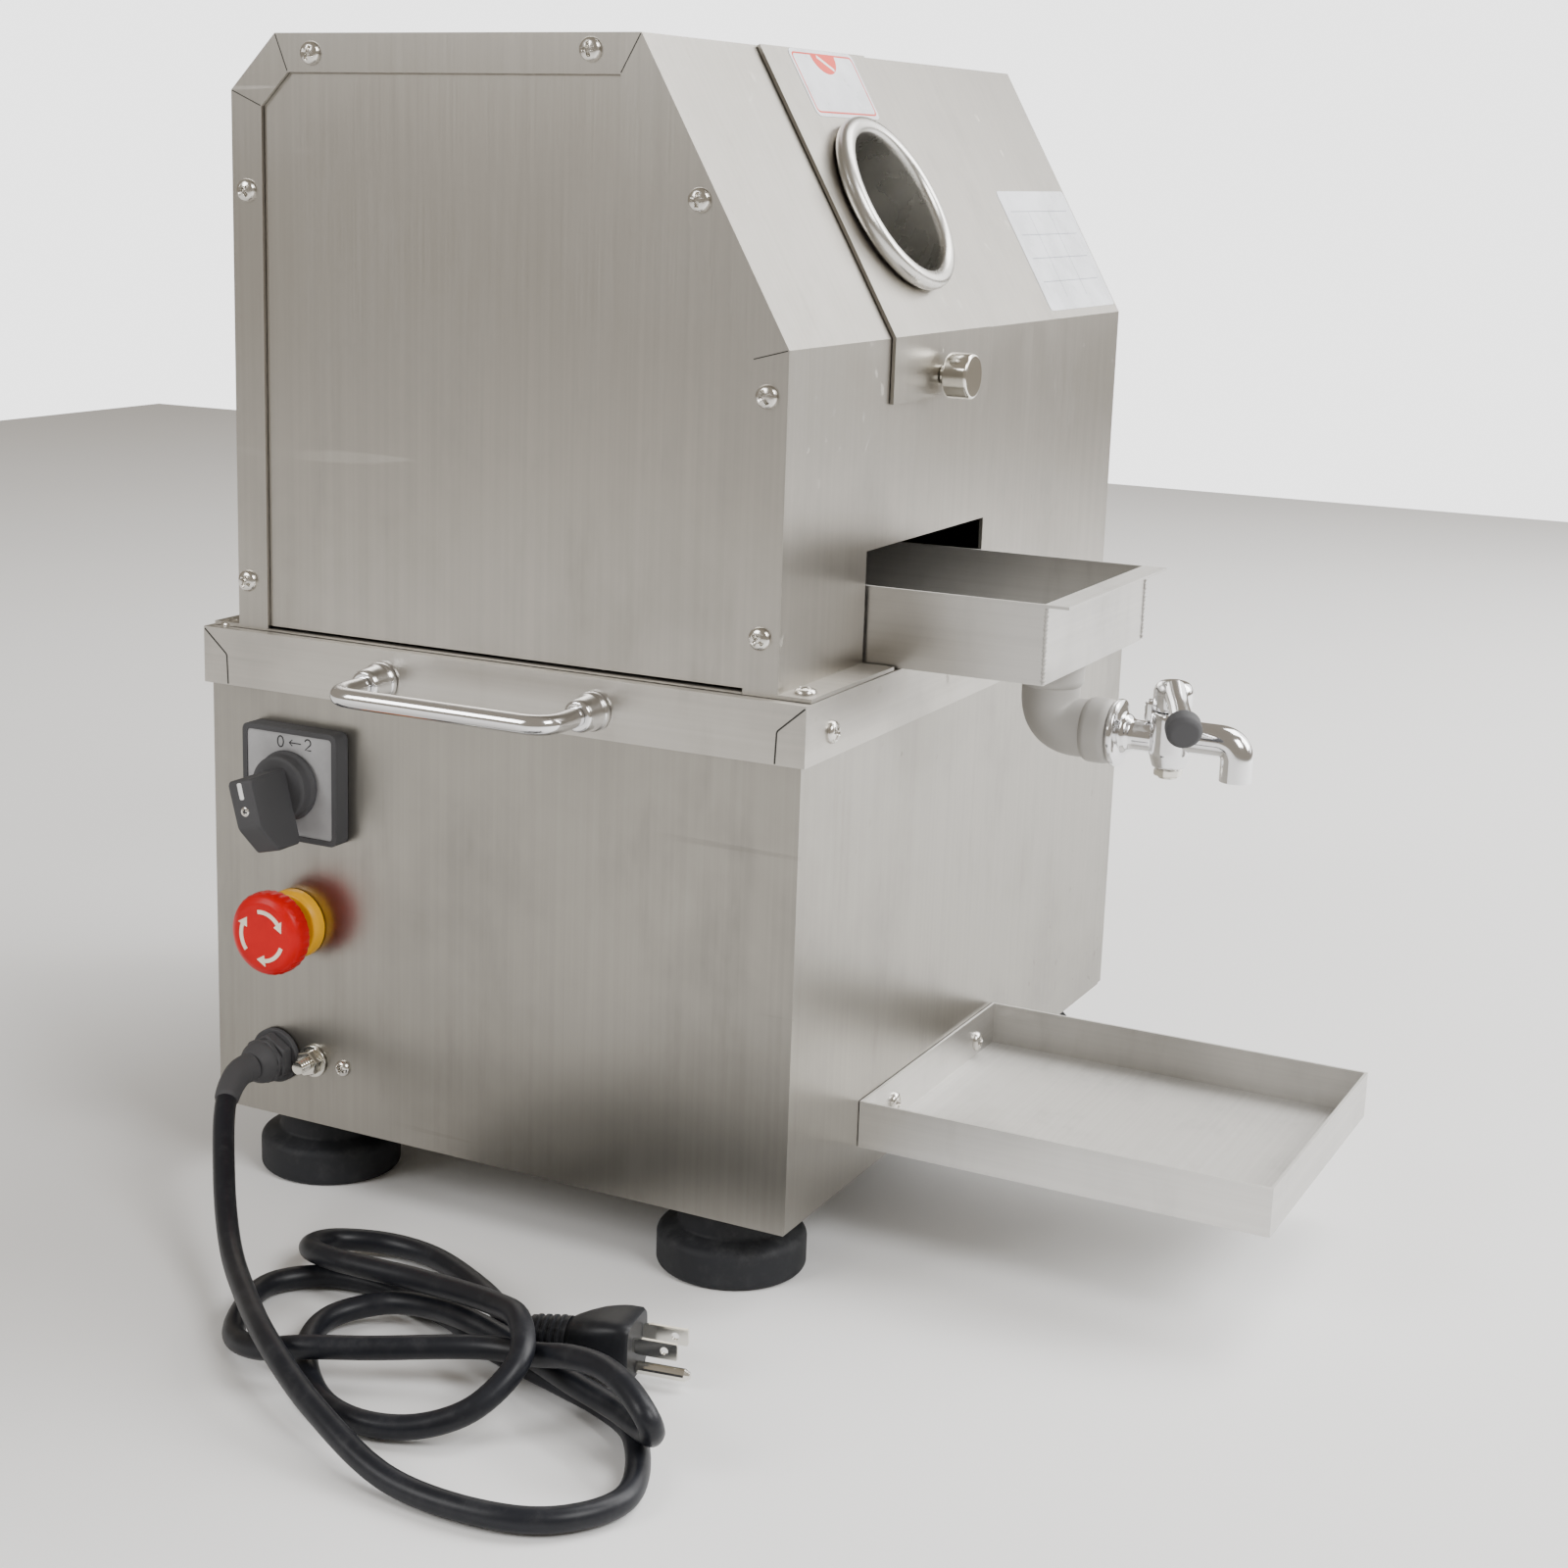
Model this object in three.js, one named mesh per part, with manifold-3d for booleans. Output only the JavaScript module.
// Electric three-roller cane juicer: a stainless base cabinet with a sloped upper housing,
// a hinged feed cover with a round throat, a sliding juice tray with a drain tap, a cup shelf,
// a geared roller set, and the chain drive, motor, controls and power cord.
// Millimetres, +Z up, Z = 0 at the feet. -Y is the side that the cane goes in, -X the side
// with the switch. The origin is the centre of the footprint of everything but the cord.
import * as THREE from "three";
import { mergeVertices } from "three/addons/utils/BufferGeometryUtils.js";
import Module from "manifold-3d";

const wasm = await Module();
wasm.setup();

// ---------------------------------------------------------------- driving dimensions
const GAP = 0.3;
const SHEET = 1.5;
const THIN_SHEET = 1.2;

const FOOT = { radius: 31, shoulder: 22, disc: 14, height: 30, x: 156, y: 101 };
const BASE = { halfX: 186, halfY: 139, bottom: 30, top: 241.9 };
const LID = { halfX: 188.5, halfY: 141.5, bottom: 220, top: 244, wall: 1.8 };
const HOUSING = {
  halfX: 183.5,
  frontY: -127,
  rearY: 126.5,
  bendZ: 374,
  slopeTopY: -62.5,
  top: 486,
  chamferY: 104.5,
  chamferZ: 464,
  flange: 15,
  foot: 14,
};
const SHELF = { x0: -118.5, x1: 30, frontY: -312, bottom: 45, top: 65 };
const REAR_REACH = 150;
const CENTRE_Y = (SHELF.frontY + REAR_REACH) / 2;

const COVER = { x0: -91, x1: 9, bottom: 348, openX0: -84, openX1: 2 };
const THROAT = { x: -41, slope: 56, inner: 31.5, outer: 33, depth: 55, ring: 35.3, bead: 4 };
const KNOB = { x: -42, z: 357, radius: 9.5, reach: 16 };
const SLOT = { x0: -107, x1: 17, top: 291 };
const TRAY = { x0: -105, x1: 15, frontY: -203, backY: 55, bottom: 245, top: 277, lip: 9 };
const DRAIN = { x: -43, y: -184.5, band: 13.5, pipe: 11.5, bore: 7.5 };

const ROLLER = { radius: 32.5, grooves: 24, grooveDepth: 2, journal: 12, x0: -105, x1: 15 };
const ROLLER_CENTRES = { top: [11, 398], front: [-26.5, 343.7], rear: [48.5, 343.7] };
const GEAR = { module: 3, teeth: 22, x0: 34, x1: 50, shaft: 10 };
const BEARING = { thickness: 10, inset: 3, bore: 16 };
const DRIVE = { y: 11, topZ: 398, lowZ: 115, x0: 58, x1: 66 };
const MOTOR = { radius: 45, x0: -120, x1: 0, gearbox: 45 };
const CHUTE = { x0: -105, x1: 15, innerY: 88, outerY: REAR_REACH, drop: 18, top: 392, z: 318 };

const HANDLE = { z: 231, halfSpan: 50, standOff: 35.5, bar: 4, ferrule: 8, cup: 13, bend: 12 };
const SWITCH = { y: 92.9, z: 182.7, size: 48, reach: 8.9 };
const ESTOP = { y: 96, z: 120, collar: 15, head: 18, reach: 25 };
const GLAND = { y: 107, z: 58.4, flange: 12, nut: 11, stub: 7.5, reach: 19.3 };
const STUD = { y: 88, z: 59 };
const CORD = { radius: 4.5, sides: 8, steps: 110 };
const PLUG = { x: -275.6, y: -78.3, z: 13.6, heading: -80, neck: 16, length: 42, width: 24 };
const BLADE = { length: 17.5, width: 6.35, thick: 1.5, apart: 12.7, rise: 4, pinDrop: 7.9, pin: 2.4 };

// Waypoints of the free cord, from the gland to the back of the plug: 1.53 m along the curve.
const CORD_ROUTE = [
  [-205.6, 107, 58.4],
  [-213, 107, 58],
  [-228, 102, 52.5],
  [-258, 80, 34],
  [-289, 52.5, 21],
  [-320, 20, 19],
  [-346.5, -11, 19.5],
  [-368.5, -48, 13.5],
  [-383, -90, 5.5],
  [-382, -135, 5],
  [-371, -153, 5],
  [-351, -162, 5],
  [-311.5, -142.5, 5],
  [-299.5, -122.5, 5],
  [-292.5, -100.5, 5],
  [-279.5, -57, 5],
  [-269, -38, 5],
  [-260, 4.5, 5],
  [-265, 26.5, 5],
  [-282.5, 39.5, 5],
  [-324, 23.5, 5.5],
  [-334.5, 3.5, 9.5],
  [-333.5, -17, 14.8],
  [-322.5, -37.5, 15],
  [-306, -77, 18.5],
  [-306.5, -98.5, 21.5],
  [-311, -116, 27],
  [-316, -132, 29.5],
  [-325, -148, 29],
  [-331.5, -159.5, 23.5],
  [-326.5, -158, 16],
  [-314, -137, 14],
  [-305, -113.5, 14],
  [-298, -96, 14.5],
  [-289.5, -75.5, 14.5],
  [-284, -55, 14.8],
  [-277, -33.5, 11.5],
  [-277.5, -13.5, 8.5],
  [-294, 0.5, 6],
  [-316.5, -5, 5],
  [-348, -35, 5],
  [-354, -56, 5],
  [-349, -76.5, 6.5],
  [-338.5, -93.5, 13.5],
  [-320, -100.5, 25.5],
  [-303, -90, 31.3],
  [-290.5, -71.5, 28],
  [-277, -28, 21.5],
  [-270.5, 16.5, 17],
  [-259.5, 36, 13],
  [-241, 39, 8.5],
  [-228, 23, 6],
  [-228, 0, 6],
  [-250, -39.5, 9.5],
  [-265.5, -58, 12],
  [-277.1, -69.5, 13.6],
  [-275.6, -78, 13.6],
];

// ---------------------------------------------------------------- materials
const finish = (color, roughness, metalness) =>
  new THREE.MeshStandardMaterial({ color, roughness, metalness });
const stainless = finish(0xb9b6ae, 0.35, 1);
const polished = finish(0xd8d8d6, 0.12, 1);
const castSteel = finish(0x8d8b86, 0.5, 0.9);
const blackRubber = finish(0x1c1d1f, 0.75, 0);
const blackPlastic = finish(0x17181a, 0.4, 0);
const greyPlastic = finish(0x8b8d90, 0.45, 0);
const yellowPlastic = finish(0xf0c020, 0.4, 0);
const redPlastic = finish(0xc81e1e, 0.35, 0);
const nickel = finish(0xc9c6bd, 0.25, 1);
const bronze = finish(0xb08d4c, 0.35, 1);
const motorPaint = finish(0x3c4248, 0.55, 0.4);
const cordSkin = finish(0x1e2024, 0.5, 0);

// ---------------------------------------------------------------- solids
// A closed geometry as a solid; its faces are turned outwards if they point in.
function solid(geometry) {
  const bare = geometry.index ? geometry.toNonIndexed() : geometry.clone();
  bare.deleteAttribute("normal");
  bare.deleteAttribute("uv");
  const merged = mergeVertices(bare, 1e-4);
  const vertProperties = new Float32Array(merged.attributes.position.array);
  const triVerts = new Uint32Array(merged.index.array);
  const made = new wasm.Manifold(new wasm.Mesh({ numProp: 3, vertProperties, triVerts }));
  if (made.volume() >= 0) return made;
  for (let i = 0; i < triVerts.length; i += 3) {
    [triVerts[i + 1], triVerts[i + 2]] = [triVerts[i + 2], triVerts[i + 1]];
  }
  return new wasm.Manifold(new wasm.Mesh({ numProp: 3, vertProperties, triVerts }));
}

function geometryOf(manifold) {
  const mesh = manifold.getMesh();
  const position = new Float32Array(mesh.numVert * 3);
  for (let i = 0; i < mesh.numVert; i += 1) {
    position.set(mesh.vertProperties.subarray(i * mesh.numProp, i * mesh.numProp + 3), i * 3);
  }
  const geometry = new THREE.BufferGeometry();
  geometry.setAttribute("position", new THREE.BufferAttribute(position, 3));
  geometry.setIndex(new THREE.BufferAttribute(new Uint32Array(mesh.triVerts), 1));
  geometry.computeVertexNormals();
  return geometry;
}

const union = (...parts) => parts.reduce((whole, part) => whole.add(part));
const cut = (whole, ...parts) => parts.reduce((left, part) => left.subtract(part), whole);

function box(x0, x1, y0, y1, z0, z1) {
  const geometry = new THREE.BoxGeometry(x1 - x0, y1 - y0, z1 - z0);
  geometry.translate((x0 + x1) / 2, (y0 + y1) / 2, (z0 + z1) / 2);
  return solid(geometry);
}

// Turns a shape drawn in X and Y, and extruded or turned about Z, onto another axis.
const ontoAxis = {
  x: new THREE.Matrix4().makeBasis(
    new THREE.Vector3(0, 1, 0),
    new THREE.Vector3(0, 0, 1),
    new THREE.Vector3(1, 0, 0),
  ),
  y: new THREE.Matrix4().makeBasis(
    new THREE.Vector3(0, 0, 1),
    new THREE.Vector3(1, 0, 0),
    new THREE.Vector3(0, 1, 0),
  ),
  z: new THREE.Matrix4(),
};

function shapeOf(points) {
  return new THREE.Shape(points.map(([a, b]) => new THREE.Vector2(a, b)));
}

// An outline extruded from low to high along an axis. The outline's two coordinates are
// Y and Z for the X axis, Z and X for the Y axis, and X and Y for the Z axis.
function prism(axis, outline, low, high) {
  const geometry = new THREE.ExtrudeGeometry(shapeOf(outline), {
    depth: high - low,
    bevelEnabled: false,
  });
  geometry.translate(0, 0, low);
  geometry.applyMatrix4(ontoAxis[axis]);
  return solid(geometry);
}

// A turned piece: a profile of [radius, height] pairs, swept about an axis through [a, b].
function turned(axis, profile, [a, b] = [0, 0], segments = 20) {
  const points = profile.map(([radius, height]) => new THREE.Vector2(radius, height));
  const geometry = new THREE.LatheGeometry(points, segments);
  geometry.rotateX(Math.PI / 2);
  geometry.translate(a, b, 0);
  geometry.applyMatrix4(ontoAxis[axis]);
  return solid(geometry);
}

function rod(axis, radius, low, high, centre = [0, 0], segments = 20) {
  const profile = [
    [0, low],
    [radius, low],
    [radius, high],
    [0, high],
  ];
  return turned(axis, profile, centre, segments);
}

function ring(axis, inner, outer, low, high, centre = [0, 0], segments = 20) {
  const profile = [
    [inner, low],
    [outer, low],
    [outer, high],
    [inner, high],
    [inner, low],
  ];
  return turned(axis, profile, centre, segments);
}

function polygon(count, radius, phase = 0) {
  return Array.from({ length: count }, (_, i) => {
    const angle = phase + (2 * Math.PI * i) / count;
    return [radius * Math.cos(angle), radius * Math.sin(angle)];
  });
}

const shifted = (outline, [a, b]) => outline.map(([p, q]) => [p + a, q + b]);

function sweep(curve, radius, sides, steps) {
  const geometry = new THREE.ExtrudeGeometry(shapeOf(polygon(sides, radius, Math.PI / sides)), {
    steps,
    bevelEnabled: false,
    extrudePath: curve,
  });
  return solid(geometry);
}

// Moves each edge of a closed outline inwards by a distance; the outline runs anticlockwise.
function inset(outline, distance) {
  const count = outline.length;
  return outline.map((point, i) => {
    const before = outline[(i + count - 1) % count];
    const after = outline[(i + 1) % count];
    const into = normalOf(before, point);
    const out = normalOf(point, after);
    const scale = distance / (1 + into[0] * out[0] + into[1] * out[1]);
    return [point[0] + (into[0] + out[0]) * scale, point[1] + (into[1] + out[1]) * scale];
  });
}

function normalOf([a, b], [c, d]) {
  const length = Math.hypot(c - a, d - b);
  return [-(d - b) / length, (c - a) / length];
}

// ---------------------------------------------------------------- scene graph
const juicer = new THREE.Group();
juicer.position.y = -CENTRE_Y;

function add(name, shape, material, parent = juicer) {
  const geometry = shape.isBufferGeometry ? shape : geometryOf(shape);
  const mesh = new THREE.Mesh(geometry, material);
  mesh.name = name;
  parent.add(mesh);
  return mesh;
}

function group(parent = juicer, x = 0, y = 0, z = 0) {
  const made = new THREE.Group();
  made.position.set(x, y, z);
  parent.add(made);
  return made;
}

const SIDES = [
  ["left", -1],
  ["right", 1],
];

// ---------------------------------------------------------------- base cabinet
function addFeet() {
  const profile = [
    [0, 0],
    [FOOT.radius - 2, 0],
    [FOOT.radius, 2],
    [FOOT.radius, FOOT.disc - 1.5],
    [FOOT.radius - 2, FOOT.disc],
    [FOOT.shoulder, FOOT.height - GAP],
    [0, FOOT.height - GAP],
  ];
  for (const [side, sx] of SIDES) {
    for (const [end, sy] of [
      ["front", -1],
      ["rear", 1],
    ]) {
      const foot = add(`foot_${end}_${side}`, turned("z", profile), blackRubber);
      foot.position.set(sx * FOOT.x, sy * FOOT.y, 0);
    }
  }
}

function baseShell() {
  const low = BASE.bottom + SHEET + GAP;
  const { halfX, halfY, top } = BASE;
  const wallX = halfX - SHEET;
  const wallY = halfY - SHEET;
  const shell = cut(
    box(-halfX, halfX, -halfY, halfY, low, top),
    box(-wallX, wallX, -wallY, wallY, low - 1, top + 1),
  );
  const outside = -halfX - 1;
  const inside = -wallX + 1;
  return cut(
    shell,
    box(outside, inside, SWITCH.y - 6, SWITCH.y + 6, SWITCH.z - 6, SWITCH.z + 6),
    rod("x", 11, outside, inside, [ESTOP.y, ESTOP.z]),
    rod("x", GLAND.stub + 0.5, outside, inside, [GLAND.y, GLAND.z]),
    rod("x", 3.5, outside, inside, [STUD.y, STUD.z], 12),
  );
}

function deckLid() {
  const { halfX, halfY, bottom, top, wall } = LID;
  return cut(
    box(-halfX, halfX, -halfY, halfY, bottom, top),
    box(-halfX + wall, halfX - wall, -halfY + wall, halfY - wall, bottom - 1, top - wall),
    box(DRIVE.x0 - 4, DRIVE.x1 + 4, -32, 54, top - wall - 1, top + 1),
  );
}

// ---------------------------------------------------------------- upper housing
// Side outline of the housing in Y and Z, anticlockwise from the lower front corner.
const housingOutline = [
  [HOUSING.frontY, LID.top + GAP],
  [HOUSING.rearY, LID.top + GAP],
  [HOUSING.rearY, HOUSING.chamferZ],
  [HOUSING.chamferY, HOUSING.top],
  [HOUSING.slopeTopY, HOUSING.top],
  [HOUSING.frontY, HOUSING.bendZ],
];
const SLOPE_RISE = HOUSING.top - HOUSING.bendZ;
const SLOPE_RUN = HOUSING.slopeTopY - HOUSING.frontY;
const SLOPE_LENGTH = Math.hypot(SLOPE_RISE, SLOPE_RUN);
// Angle of the slope from the vertical.
const SLOPE_LEAN = Math.atan2(SLOPE_RUN, SLOPE_RISE);

// A point on the slope's outer face, "along" from the lower bend and "out" along its normal.
function onSlope(along, out) {
  const y = HOUSING.frontY + along * Math.sin(SLOPE_LEAN) - out * Math.cos(SLOPE_LEAN);
  const z = HOUSING.bendZ + along * Math.cos(SLOPE_LEAN) + out * Math.sin(SLOPE_LEAN);
  return [y, z];
}

function upperHousing() {
  const { halfX, frontY, rearY, flange, foot } = HOUSING;
  const low = LID.top + GAP;
  // The walls' inner faces, with the open bottom carried below the deck.
  const inner = inset(housingOutline, SHEET).map(([y, z]) => [y, z < low + 5 ? low - 1 : z]);
  const window = inset(housingOutline, flange).map(([y, z]) => [y, z < low + 20 ? low - 1 : z]);
  const wallX = halfX - SHEET;
  const shell = cut(
    prism("x", housingOutline, -halfX, halfX),
    prism("x", inner, -wallX, wallX),
    prism("x", window, -halfX - 1, halfX + 1),
  );
  const feed = [
    onSlope(5, 3),
    onSlope(5, -6),
    onSlope(SLOPE_LENGTH - 11, -6),
    onSlope(SLOPE_LENGTH - 11, 3),
  ];
  const holes = [
    prism("x", feed, COVER.openX0, COVER.openX1),
    box(KNOB.x - 4, KNOB.x + 4, frontY - 2, frontY + 3, KNOB.z - 8, KNOB.z + 8),
    box(SLOT.x0, SLOT.x1, frontY - 2, frontY + 3, low - 1, SLOT.top),
    box(CHUTE.x0 - 2, CHUTE.x1 + 2, rearY - 3, rearY + 2, CHUTE.z - 2, CHUTE.top + 2),
  ];
  const feet = [
    box(-halfX, SLOT.x0, frontY - foot, frontY + 1, low, low + SHEET),
    box(SLOT.x1, halfX, frontY - foot, frontY + 1, low, low + SHEET),
    box(-halfX, halfX, rearY - 1, rearY + foot - 1, low, low + SHEET),
  ];
  return union(cut(shell, ...holes), ...feet);
}

function sidePanel() {
  const outline = inset(housingOutline, SHEET + 0.5).map(([y, z]) => [y, Math.max(z, LID.top + 2 * GAP)]);
  return prism("x", outline, 0, SHEET);
}

// ---------------------------------------------------------------- feed cover
// Lays a piece drawn about Z, with Z = 0 on the slope, along the slope's outward normal.
function slopeFrame(x, along) {
  const [y, z] = onSlope(along, 0);
  return new THREE.Matrix4()
    .makeRotationX(Math.PI / 2 - SLOPE_LEAN)
    .setPosition(x, y, z);
}

function feedCover() {
  const bend = Math.tan(SLOPE_LEAN / 2);
  const [innerFace, outerFace] = [GAP, GAP + SHEET].map((out) => [
    [HOUSING.frontY - out, COVER.bottom],
    [HOUSING.frontY - out, HOUSING.bendZ + out * bend],
    onSlope(SLOPE_LENGTH - 0.5, out),
  ]);
  const hole = new THREE.CylinderGeometry(THROAT.outer + GAP, THROAT.outer + GAP, 12, 32);
  hole.rotateX(Math.PI / 2);
  hole.applyMatrix4(slopeFrame(THROAT.x, THROAT.slope));
  return cut(
    prism("x", [...innerFace, ...outerFace.reverse()], COVER.x0, COVER.x1),
    solid(hole),
    rod("y", 3, HOUSING.frontY - 5, HOUSING.frontY + 5, [KNOB.z, KNOB.x], 16),
  );
}

// The throat's rolled rim rests on the cover's outer face, and its tube runs inwards.
function feedThroat() {
  const { inner, outer, depth, ring: rimRadius, bead } = THROAT;
  const seat = 2 * GAP + SHEET;
  const rim = Array.from({ length: 8 }, (_, i) => {
    const angle = (-Math.PI * 3) / 4 + (1.5 * Math.PI * i) / 7;
    return [rimRadius + bead * Math.cos(angle), seat + bead + bead * Math.sin(angle)];
  });
  const profile = [
    [inner, -depth],
    [outer, -depth],
    [outer, seat + 1],
    ...rim,
    [inner, seat + bead * 1.4],
    [inner, -depth],
  ];
  return turned("z", profile, [0, 0], 28);
}

function addFeedCover() {
  add("feed_cover", feedCover(), stainless);
  const throat = add("feed_throat", feedThroat(), polished);
  throat.applyMatrix4(slopeFrame(THROAT.x, THROAT.slope));
  const knob = group(juicer, KNOB.x, HOUSING.frontY, KNOB.z);
  const disc = KNOB.reach - 5;
  const shape = union(
    rod("y", KNOB.radius, -KNOB.reach, -KNOB.reach + disc),
    rod("y", 4, -KNOB.reach + disc - 1, -GAP * 2 - SHEET, [0, 0], 16),
    rod("y", 2.5, -KNOB.reach + disc, 8, [0, 0], 12),
  );
  add("thumb_knob", shape, nickel, knob);
}

// ---------------------------------------------------------------- juice tray and tap
function juiceTray() {
  const { x0, x1, frontY, backY, bottom, top, lip } = TRAY;
  const wall = THIN_SHEET;
  return cut(
    union(
      box(x0, x1, frontY, backY, bottom, top),
      box(x0, x1, frontY - lip, frontY + 1, top - wall, top),
    ),
    box(x0 + wall, x1 - wall, frontY + wall, backY - wall, bottom + wall, top + 1),
    rod("z", DRAIN.bore, bottom - 1, bottom + wall + 1, [DRAIN.x, DRAIN.y], 16),
  );
}

// Everything below is drawn about the drain's own axis: Y = Z = 0 at the tray's underside.
const ELBOW = { drop: 28.6, radius: 16, bandDepth: 12, reach: 28.2 };
const TAP = { pipe: 6.3, flange: 14, bodyY: -52, bodyR: 8.5, low: -40.2, high: -17, spoutZ: -42.5 };

// A path of straight runs with rounded corners, through points in one plane.
function roundedPath(points, radius) {
  const path = new THREE.CurvePath();
  let from = points[0];
  for (let i = 1; i < points.length - 1; i += 1) {
    const corner = points[i];
    const entry = corner.clone().addScaledVector(from.clone().sub(corner).normalize(), radius);
    const exit = corner.clone().addScaledVector(points[i + 1].clone().sub(corner).normalize(), radius);
    path.add(new THREE.LineCurve3(from, entry));
    path.add(new THREE.QuadraticBezierCurve3(entry, corner, exit));
    from = exit;
  }
  path.add(new THREE.LineCurve3(from, points[points.length - 1]));
  return path;
}

const vec = (x, y, z) => new THREE.Vector3(x, y, z);

function drainElbow() {
  const { drop, radius, bandDepth, reach } = ELBOW;
  const path = (low, far) => roundedPath([vec(0, 0, low), vec(0, 0, -drop), vec(0, far, -drop)], radius);
  const body = sweep(path(-GAP - 1, -reach + 1), DRAIN.pipe, 16, 9);
  const bore = sweep(path(2, -reach - 2), DRAIN.bore, 12, 9);
  return cut(
    union(
      body,
      rod("z", DRAIN.band, -GAP - bandDepth, -GAP),
      rod("y", DRAIN.band, -reach, -reach + bandDepth, [-drop, 0]),
    ),
    bore,
  );
}

function tapBody() {
  const { pipe, flange, bodyY, bodyR, low, high, spoutZ } = TAP;
  const axisZ = -ELBOW.drop;
  const start = -ELBOW.reach - GAP;
  const spout = roundedPath([vec(0, bodyY - 2, axisZ + 2), vec(0, -80, axisZ + 2), vec(0, -80, spoutZ)], 12);
  return cut(
    union(
      rod("y", flange, start - 3, start, [axisZ, 0]),
      rod("y", pipe + 2, start - 6, start - 2, [axisZ, 0]),
      rod("y", pipe, bodyY + 3, start - 1, [axisZ, 0]),
      turned("z", [[0, low], [bodyR - 1.5, low], [bodyR, low + 6], [bodyR, high], [0, high]], [0, bodyY]),
      box(-2.9, 2.9, bodyY + 7.1, bodyY + 11, axisZ + 0.7, high - 2.2),
      box(-2.8, 2.8, bodyY + 8.1, bodyY + 10.9, high - 3.1, high + 3),
      sweep(spout, pipe + 0.6, 12, 9),
    ),
    rod("z", pipe - 1.6, spoutZ - 2, spoutZ + 12, [0, -80], 16),
  );
}

function tapNut() {
  const { bodyY, low } = TAP;
  return union(
    prism("z", shifted(polygon(6, 6.2), [0, bodyY]), low - GAP - 3, low - GAP),
    rod("z", 4, low - GAP - 4.4, low - GAP - 2, [0, bodyY], 16),
  );
}

// A domed hub with a round lever that leans down from it to the side and the front.
const LEVER = { rise: 13, reach: 25, lean: -12, fall: -9, radius: 4.9, cap: 7.7, capLength: 9 };

function leverPoint(share) {
  const { reach, lean, fall, rise } = LEVER;
  return vec(-reach * share, TAP.bodyY + lean * share, TAP.high + rise - 3 + fall * share);
}

function tapLever() {
  const low = TAP.high + GAP;
  const top = TAP.high + LEVER.rise;
  const hub = turned(
    "z",
    [[0, low], [7.6, low], [8, low + 2], [8, top - 4], [6.5, top - 1.2], [3.5, top], [0, top]],
    [0, TAP.bodyY],
  );
  const arm = new THREE.LineCurve3(leverPoint(0.1), leverPoint(1));
  return union(hub, sweep(arm, LEVER.radius, 16, 1));
}

function tapLeverCap() {
  const away = leverPoint(1).sub(leverPoint(0)).normalize();
  const near = leverPoint(1).addScaledVector(away, GAP);
  const far = near.clone().addScaledVector(away, LEVER.capLength);
  return sweep(new THREE.LineCurve3(near, far), LEVER.cap, 20, 1);
}

function addTray() {
  add("juice_tray", juiceTray(), polished);
  const drain = group(juicer, DRAIN.x, DRAIN.y, TRAY.bottom);
  add("drain_elbow", drainElbow(), castSteel, drain);
  add("tap_body", tapBody(), polished, drain);
  add("tap_nut", tapNut(), nickel, drain);
  add("tap_lever", tapLever(), polished, drain);
  add("tap_lever_cap", tapLeverCap(), blackPlastic, drain);
}

// ---------------------------------------------------------------- cup shelf
function cupShelf() {
  const { x0, x1, frontY, bottom, top } = SHELF;
  const backY = -BASE.halfY - GAP;
  const wall = THIN_SHEET;
  return cut(
    box(x0, x1, frontY, backY, bottom, top),
    box(x0 + wall, x1 - wall, frontY + wall, backY - wall, bottom + wall, top + 1),
  );
}

// ---------------------------------------------------------------- handles
function addHandles() {
  const { z, halfSpan, standOff, bar, ferrule, cup, bend } = HANDLE;
  for (const [side, sx] of SIDES) {
    const start = LID.halfX + GAP;
    const barStart = start + cup + GAP;
    const reach = LID.halfX + standOff;
    const loop = roundedPath(
      [
        vec(barStart, -halfSpan, 0),
        vec(reach, -halfSpan, 0),
        vec(reach, halfSpan, 0),
        vec(barStart, halfSpan, 0),
      ],
      bend,
    );
    const place = group(juicer, 0, 0, z);
    place.rotation.z = sx > 0 ? 0 : Math.PI;
    add(`handle_bar_${side}`, sweep(loop, bar, 10, 20), polished, place);
    for (const [end, sy] of [
      ["front", -1],
      ["rear", 1],
    ]) {
      const shape = rod("x", ferrule, start, start + cup, [sx * sy * halfSpan, 0]);
      add(`handle_ferrule_${end}_${side}`, shape, polished, place);
    }
  }
}

// ---------------------------------------------------------------- controls, drawn about the wall
// Each control's group lies on the left wall with +X pointing out of the cabinet.
function wallGroup(y, z) {
  const place = group(juicer, -BASE.halfX, y, z);
  place.rotation.z = Math.PI;
  return place;
}

const KNOB_LEVER = { disc: 15, discEnd: 17, tip: 40, halfWidth: 6, up: 8, down: 24, turn: -14 };

function addSwitch() {
  const place = wallGroup(SWITCH.y, SWITCH.z);
  const half = SWITCH.size / 2;
  const plate = cut(
    box(GAP, SWITCH.reach, -half, half, -half, half),
    rod("x", 5, 0, SWITCH.reach + 1, [0, 0], 16),
  );
  add("switch_plate", plate, greyPlastic, place);
  add("switch_block", box(-SHEET - GAP - 38, -SHEET - GAP, -18, 18, -18, 18), blackPlastic, place);
  const { disc, discEnd, tip, halfWidth, up, down, turn } = KNOB_LEVER;
  const knob = group(place);
  knob.rotation.x = THREE.MathUtils.degToRad(turn);
  const lever = [
    [discEnd - 1, -down],
    [tip - 9, -down],
    [tip, -down + 12],
    [tip, up],
    [discEnd - 1, up],
  ];
  const shape = union(
    rod("x", disc, SWITCH.reach + GAP, discEnd),
    rod("x", 4, -SHEET, SWITCH.reach + 1, [0, 0], 16),
    prism("y", lever.map(([out, z]) => [z, out]), -halfWidth, halfWidth),
  );
  add("switch_knob", shape, blackPlastic, knob);
}

const STOP = { collarEnd: 7, headStart: 12, waist: 14, plunger: 6, bore: 6.6, block: 34 };

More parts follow.
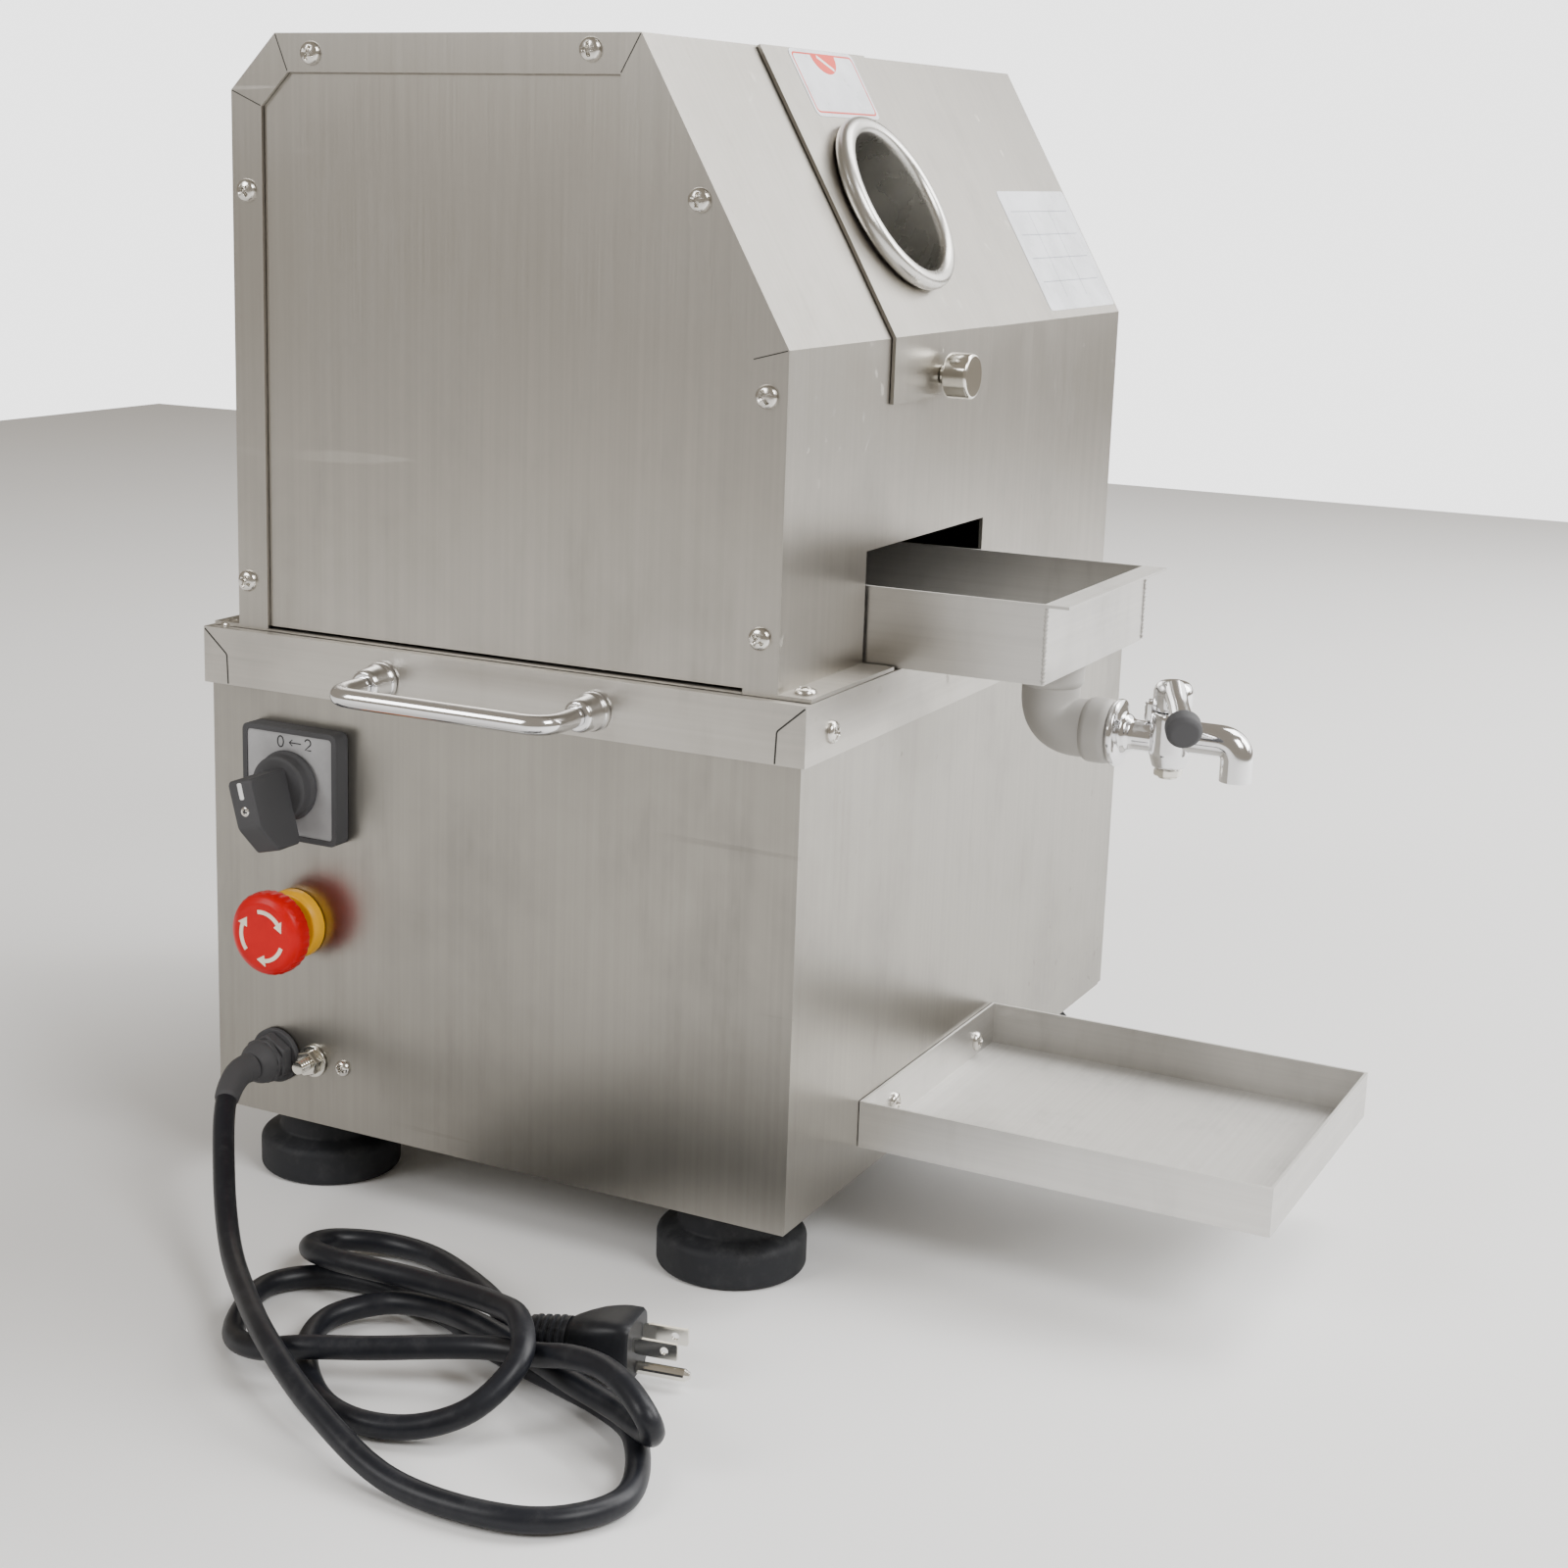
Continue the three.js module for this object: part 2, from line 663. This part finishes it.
function addEmergencyStop() {
  const place = wallGroup(ESTOP.y, ESTOP.z);
  const { collarEnd, headStart, waist, plunger, bore, block } = STOP;
  const { collar, head, reach } = ESTOP;
  add("estop_collar", ring("x", bore, collar, GAP, collarEnd), yellowPlastic, place);
  const headProfile = [
    [0, headStart],
    [waist, headStart],
    [head, headStart + 3],
    [head, reach - 5],
    [head - 2, reach - 2],
    [head - 7, reach],
    [0, reach],
  ];
  add("estop_head", turned("x", headProfile), redPlastic, place);
  add("estop_plunger", rod("x", plunger, -24, headStart - GAP), greyPlastic, place);
  const blockShape = cut(
    box(-SHEET - GAP - block, -SHEET - GAP, -15, 15, -15, 15),
    rod("x", bore, -block - 5, 0),
  );
  add("estop_block", blockShape, blackPlastic, place);
}

function addCableGland() {
  const place = wallGroup(GLAND.y, GLAND.z);
  const { flange, nut, stub, reach } = GLAND;
  const shape = union(
    rod("x", flange, GAP, 3.2),
    prism("x", polygon(6, nut), 3, 11),
    turned("x", [[0, 10], [9, 10], [9, 13], [6, reach], [0, reach]]),
    rod("x", stub, -9, 1),
    prism("x", polygon(6, nut), -SHEET - GAP - 5, -SHEET - GAP),
  );
  add("cable_gland", shape, blackPlastic, place);
}

function addEarthStud() {
  const place = wallGroup(STUD.y, STUD.z);
  const shape = union(
    rod("x", 7, GAP, 1.9),
    prism("x", polygon(6, 6.2), 1.5, 6.5),
    rod("x", 2.9, -6, 12, [0, 0], 12),
    prism("x", polygon(6, 6.2), -SHEET - GAP - 3.5, -SHEET - GAP),
  );
  add("earth_stud", shape, nickel, place);
}

// ---------------------------------------------------------------- cord and plug
class CordPath extends THREE.Curve {
  constructor(route, floor) {
    super();
    this.floor = floor;
    this.through = new THREE.CatmullRomCurve3(route.map(([x, y, z]) => vec(x, y, z)), false, "centripetal");
  }

  getPoint(t, target = new THREE.Vector3()) {
    this.through.getPoint(t, target);
    target.z = Math.max(target.z, this.floor);
    return target;
  }
}

function addCord() {
  const path = new CordPath(CORD_ROUTE, CORD.radius);
  add("power_cord", sweep(path, CORD.radius, CORD.sides, CORD.steps), cordSkin);

  const place = group(juicer, PLUG.x, PLUG.y, PLUG.z);
  place.rotation.z = THREE.MathUtils.degToRad(PLUG.heading);
  const { neck, length, width } = PLUG;
  const low = -PLUG.z + 1.2;
  const outline = [
    [neck - 2, -6],
    [neck + 4, -width / 2],
    [length, -width / 2],
    [length, width / 2],
    [neck + 4, width / 2],
    [neck - 2, 6],
  ];
  const body = union(
    turned("x", [[0, 0.2], [5.6, 0.2], [7.5, neck], [0, neck]], [0, 0], 16),
    prism("z", outline, low, low + 24.5),
  );
  add("plug_body", body, blackRubber, place);
  const { apart, rise, thick } = BLADE;
  const front = length + GAP;
  for (const [side, sy] of SIDES) {
    const y = (-sy * apart) / 2;
    const blade = cut(
      box(front, front + BLADE.length, y - thick / 2, y + thick / 2, rise - 3.175, rise + 3.175),
      rod("y", 1.5, y - 2, y + 2, [rise, front + BLADE.length - 5], 12),
    );
    add(`plug_blade_${side}`, blade, nickel, place);
  }
  const pin = turned(
    "x",
    [[0, front], [BLADE.pin, front], [BLADE.pin, front + 18.5], [1.2, front + 20.5], [0, front + 20.5]],
    [0, -BLADE.pinDrop],
    16,
  );
  add("plug_earth_pin", pin, nickel, place);
}

// ---------------------------------------------------------------- rollers and drive
const angleTo = ([y0, z0], [y1, z1]) => Math.atan2(z1 - z0, y1 - y0);

function groovedOutline() {
  const { radius, grooves, grooveDepth } = ROLLER;
  const outline = [];
  for (let i = 0; i < grooves; i += 1) {
    const angle = (2 * Math.PI * i) / grooves;
    outline.push([radius * Math.cos(angle), radius * Math.sin(angle)]);
    const valley = angle + Math.PI / grooves;
    const deep = radius - grooveDepth;
    outline.push([deep * Math.cos(valley), deep * Math.sin(valley)]);
  }
  return outline;
}

function roller(shaftEnd) {
  const outerPlate = BEARING.thickness + BEARING.inset;
  return union(
    prism("x", groovedOutline(), ROLLER.x0, ROLLER.x1),
    rod("x", ROLLER.journal, ROLLER.x0 - outerPlate - 3, ROLLER.x1 + outerPlate + 3),
    rod("x", GEAR.shaft, ROLLER.x1, shaftEnd),
  );
}

function gearOutline(phase) {
  const { module, teeth } = GEAR;
  const pitch = (module * teeth) / 2;
  const levels = [
    [pitch - 1.15 * module, 0.11],
    [pitch + 0.8 * module, 0.036],
  ];
  const outline = [];
  for (let i = 0; i < teeth; i += 1) {
    const middle = phase + (2 * Math.PI * i) / teeth;
    const [[root, rootHalf], [tip, tipHalf]] = levels;
    outline.push([root * Math.cos(middle - rootHalf), root * Math.sin(middle - rootHalf)]);
    outline.push([tip * Math.cos(middle - tipHalf), tip * Math.sin(middle - tipHalf)]);
    outline.push([tip * Math.cos(middle + tipHalf), tip * Math.sin(middle + tipHalf)]);
    outline.push([root * Math.cos(middle + rootHalf), root * Math.sin(middle + rootHalf)]);
  }
  return outline;
}

function gear(phase) {
  return cut(
    prism("x", gearOutline(phase), GEAR.x0, GEAR.x1),
    rod("x", GEAR.shaft + GAP + 0.1, GEAR.x0 - 1, GEAR.x1 + 1),
  );
}

// The phase that puts a gap of a lower gear on the top gear's tooth between their centres.
function meshedPhase(centre, topPhase) {
  const pitch = (2 * Math.PI) / GEAR.teeth;
  const direction = angleTo(ROLLER_CENTRES.top, centre);
  const toTooth = ((topPhase - direction) % pitch + pitch) % pitch;
  return direction + Math.PI - toTooth + pitch / 2;
}

function bearingPlate() {
  const outline = [
    [-72, LID.top + GAP],
    [95, LID.top + GAP],
    [95, 365],
    [50, 446],
    [-28, 446],
    [-72, 365],
  ];
  const bores = Object.values(ROLLER_CENTRES).map((centre) =>
    rod("x", BEARING.bore, -1, BEARING.thickness + 1, centre),
  );
  return cut(prism("x", outline, 0, BEARING.thickness), ...bores);
}

function sprocketOutline(pitchRadius, teeth) {
  const outline = [];
  for (let i = 0; i < teeth; i += 1) {
    const middle = (2 * Math.PI * i) / teeth;
    const step = Math.PI / teeth;
    outline.push([(pitchRadius - 7) * Math.cos(middle - step), (pitchRadius - 7) * Math.sin(middle - step)]);
    outline.push([(pitchRadius - 3.5) * Math.cos(middle), (pitchRadius - 3.5) * Math.sin(middle)]);
  }
  return outline;
}

// The outline of a belt or chain round two wheels on the same Y, the larger one above.
function loopOutline(bigRadius, smallRadius) {
  const { y, topZ, lowZ } = DRIVE;
  const lean = Math.asin((bigRadius - smallRadius) / (topZ - lowZ));
  const outline = [];
  const arc = (z, radius, from, to) => {
    for (let i = 0; i <= 14; i += 1) {
      const angle = from + ((to - from) * i) / 14;
      outline.push([y + radius * Math.cos(angle), z + radius * Math.sin(angle)]);
    }
  };
  arc(topZ, bigRadius, -lean, Math.PI + lean);
  arc(lowZ, smallRadius, Math.PI + lean, 2 * Math.PI - lean);
  return outline;
}

const CHAIN = { pitch: 12.7, bigTeeth: 25, smallTeeth: 10, innerCut: 3, outerAdd: 4 };
const sprocketRadius = (teeth) => CHAIN.pitch / (2 * Math.sin(Math.PI / teeth));

function addRollers() {
  const outerReach = BEARING.inset + BEARING.thickness;
  const plateX = { left: ROLLER.x0 - outerReach, right: ROLLER.x1 + BEARING.inset };
  for (const [side] of SIDES) {
    const plate = add(`bearing_plate_${side}`, bearingPlate(), castSteel);
    plate.position.x = plateX[side];
  }
  const topPhase = angleTo(ROLLER_CENTRES.top, ROLLER_CENTRES.front);
  for (const [name, centre] of Object.entries(ROLLER_CENTRES)) {
    const place = group(juicer, 0, ...centre);
    const isTop = name === "top";
    add(`${name}_roller`, roller(isTop ? DRIVE.x1 + 4 : GEAR.x1 + 2), castSteel, place);
    add(`${name}_gear`, gear(isTop ? topPhase : meshedPhase(centre, topPhase)), castSteel, place);
    for (const [side] of SIDES) {
      const low = plateX[side];
      const bush = ring("x", ROLLER.journal + 0.4, BEARING.bore - GAP - 0.1, low, low + BEARING.thickness);
      add(`${name}_bush_${side}`, bush, bronze, place);
    }
  }
}

function addDrive() {
  const { y, topZ, lowZ, x0, x1 } = DRIVE;
  const big = sprocketRadius(CHAIN.bigTeeth);
  const small = sprocketRadius(CHAIN.smallTeeth);
  const upper = group(juicer, 0, y, topZ);
  const driven = cut(
    prism("x", sprocketOutline(big, CHAIN.bigTeeth), x0, x1),
    rod("x", GEAR.shaft + GAP + 0.1, x0 - 1, x1 + 1),
  );
  add("driven_sprocket", driven, castSteel, upper);
  const lower = group(juicer, 0, y, lowZ);
  const drive = union(
    prism("x", sprocketOutline(small, CHAIN.smallTeeth), x0, x1),
    rod("x", 8, MOTOR.gearbox + GAP, x1 + 3),
  );
  add("drive_sprocket", drive, castSteel, lower);
  const chain = cut(
    prism("x", loopOutline(big + CHAIN.outerAdd, small + CHAIN.outerAdd), x0 + 1, x1 - 1),
    prism("x", loopOutline(big - CHAIN.innerCut, small - CHAIN.innerCut), x0 - 1, x1 + 1),
  );
  add("drive_chain", chain, castSteel);
  const motor = union(
    rod("x", MOTOR.radius, MOTOR.x0, MOTOR.x1, [y, lowZ], 28),
    box(MOTOR.x1 - 1, MOTOR.gearbox, y - 40, y + 40, lowZ - 40, lowZ + 40),
  );
  add("gear_motor", motor, motorPaint);
  const bracket = cut(
    box(MOTOR.x0 + 12, MOTOR.x1 - 12, y - 50, y + 50, BASE.bottom + SHEET + GAP, lowZ - 20),
    rod("x", MOTOR.radius + GAP + 0.2, MOTOR.x0, MOTOR.x1, [y, lowZ], 28),
  );
  add("motor_bracket", bracket, castSteel);
}

// ---------------------------------------------------------------- bagasse chute
function bagasseChute() {
  const { x0, x1, innerY, outerY, drop, top, z } = CHUTE;
  const floorIn = z + 12;
  const outline = [
    [innerY, floorIn],
    [outerY, floorIn - drop],
    [outerY, floorIn + 14],
    [HOUSING.rearY - 4, top - 2],
    [innerY, top - 2],
  ];
  const space = [
    [innerY - 1, floorIn + THIN_SHEET + 0.3],
    [outerY + 1, floorIn - drop + THIN_SHEET - 0.3],
    [outerY + 1, top],
    [innerY - 1, top],
  ];
  return cut(
    prism("x", outline, x0, x1),
    prism("x", space, x0 + THIN_SHEET, x1 - THIN_SHEET),
  );
}

// ---------------------------------------------------------------- assembly
function build() {
  addFeet();
  const { halfX, halfY, bottom } = BASE;
  add("bottom_plate", box(1 - halfX, halfX - 1, 1 - halfY, halfY - 1, bottom, bottom + SHEET), stainless);
  add("base_shell", baseShell(), stainless);
  add("deck_lid", deckLid(), stainless);
  add("upper_housing", upperHousing(), stainless);
  for (const [side, sx] of SIDES) {
    const panel = add(`side_panel_${side}`, sidePanel(), stainless);
    panel.position.x = sx > 0 ? HOUSING.halfX - 2 * SHEET - GAP : -HOUSING.halfX + SHEET + GAP;
  }
  addFeedCover();
  addTray();
  add("cup_shelf", cupShelf(), stainless);
  addHandles();
  addSwitch();
  addEmergencyStop();
  addCableGland();
  addEarthStud();
  addCord();
  addRollers();
  addDrive();
  add("bagasse_chute", bagasseChute(), stainless);
}

build();

export default juicer;
